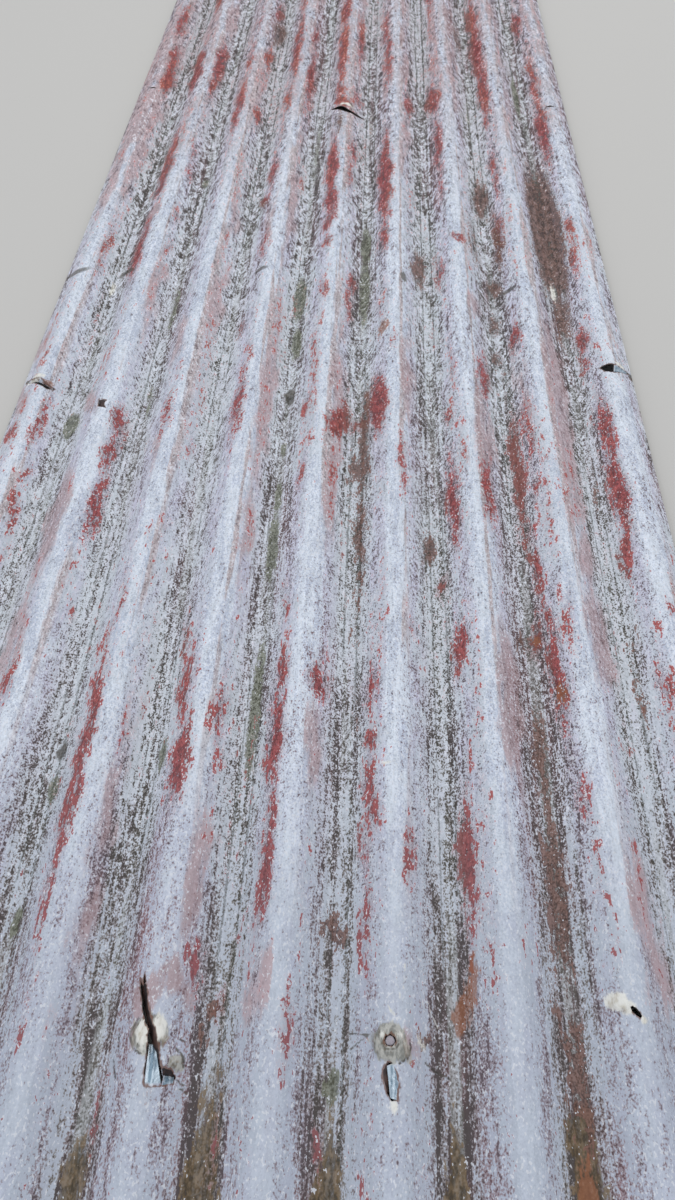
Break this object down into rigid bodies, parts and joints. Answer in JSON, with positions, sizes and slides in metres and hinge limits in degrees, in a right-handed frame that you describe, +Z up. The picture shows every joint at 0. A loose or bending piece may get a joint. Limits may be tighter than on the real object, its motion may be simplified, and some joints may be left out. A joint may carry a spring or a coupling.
{
  "type": "corrugated metal sheet",
  "caption": "Second-hand corrugated roofing sheet in weathered galvanised steel, with round corrugations, old nail holes and torn nail slits.",
  "frame": {"origin": "middle of the footprint, on the level floor that the valleys rest on", "axes": "+X across the corrugations, +Y along them, away from the end that the picture was taken from, +Z up, out of the weather side"},
  "size_m": [0.6604, 2.134, 0.0236],
  "materials": {
    "weathered_zinc": "chalky weathered zinc coating with worn red oxide paint and dirt in the valleys"
  },
  "bodies": {
    "root": {"corrugated_sheet": "weathered_zinc"}
  },
  "joints": []
}
